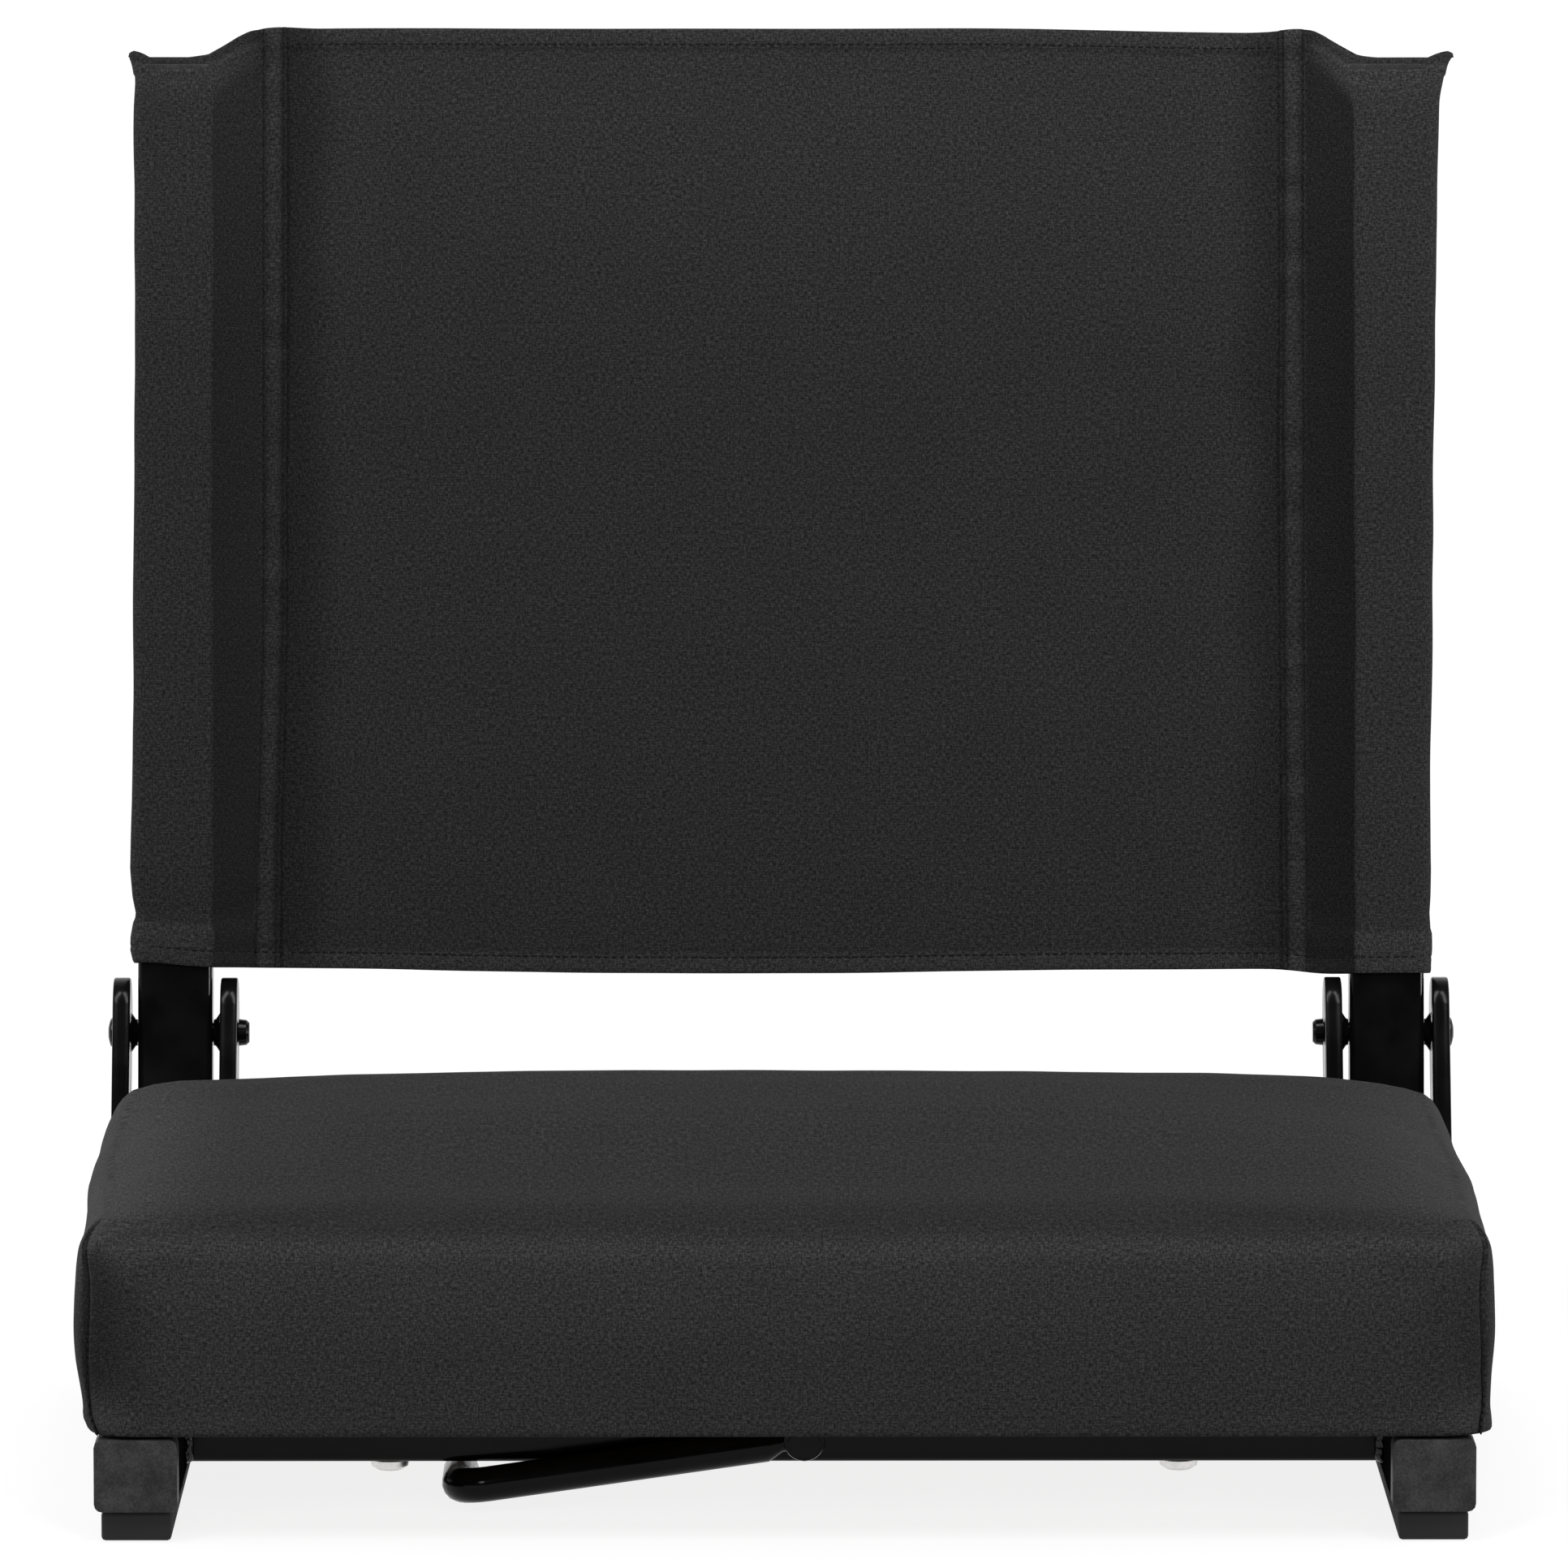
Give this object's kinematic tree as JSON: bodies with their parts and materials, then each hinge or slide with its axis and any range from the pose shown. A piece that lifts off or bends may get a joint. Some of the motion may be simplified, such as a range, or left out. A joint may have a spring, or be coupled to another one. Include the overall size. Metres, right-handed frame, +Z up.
{
  "type": "stadium chair",
  "caption": "Folding padded bleacher seat on a low steel base, with a canvas back that folds down on hinged uprights and a swing-down hook under the front.",
  "frame": {"origin": "middle of the bounding box's footprint, on the floor", "axes": "+Z up, the front of the seat faces -Y, +X to the right as seen from the front"},
  "size_m": [0.4356, 0.3756, 0.4329],
  "materials": {
    "black_enamel": "gloss",
    "canvas": "woven matte",
    "plug_plastic": "fine grain",
    "runner_rubber": "matte",
    "plated_steel": "zinc plated",
    "plywood": "raw",
    "foam": "open foam"
  },
  "bodies": {
    "base": {"front_cross_tube": "black_enamel", "front_left_plug": "plug_plastic", "front_left_seat_bolt": "plated_steel", "front_right_plug": "plug_plastic", "front_right_seat_bolt": "plated_steel", "hook_bolt": "black_enamel", "hook_nut": "plated_steel", "hook_washer": "plated_steel", "left_inner_bar": "black_enamel", "left_inner_spacer": "black_enamel", "left_outer_bar": "black_enamel", "left_outer_spacer": "black_enamel", "left_pivot_rivet": "black_enamel", "left_rail": "black_enamel", "left_runner": "runner_rubber", "rear_cross_tube": "black_enamel", "rear_left_plug": "plug_plastic", "rear_left_seat_bolt": "plated_steel", "rear_right_plug": "plug_plastic", "rear_right_seat_bolt": "plated_steel", "right_inner_bar": "black_enamel", "right_inner_spacer": "black_enamel", "right_outer_bar": "black_enamel", "right_outer_spacer": "black_enamel", "right_pivot_rivet": "black_enamel", "right_rail": "black_enamel", "right_runner": "runner_rubber", "seat_board": "plywood", "seat_cover": "canvas", "seat_foam": "foam"},
    "back": {"back_canvas": "canvas", "back_cross_tube": "black_enamel", "left_upright": "black_enamel", "left_upright_foot_plug": "plug_plastic", "left_upright_top_plug": "plug_plastic", "right_upright": "black_enamel", "right_upright_foot_plug": "plug_plastic", "right_upright_top_plug": "plug_plastic"},
    "hook": {"bleacher_hook": "black_enamel"}
  },
  "joints": [
    {"name": "back_fold", "type": "hinge", "parent": "base", "child": "back", "pos_m": [0, 0.13224, 0.111], "axis": [1, 0, 0], "range_deg": [0, 93]},
    {"name": "hook_swing", "type": "hinge", "parent": "base", "child": "hook", "pos_m": [0.006, -0.13776, 0.0234], "axis": [0, -1, 0], "range_deg": [0, 84]}
  ]
}
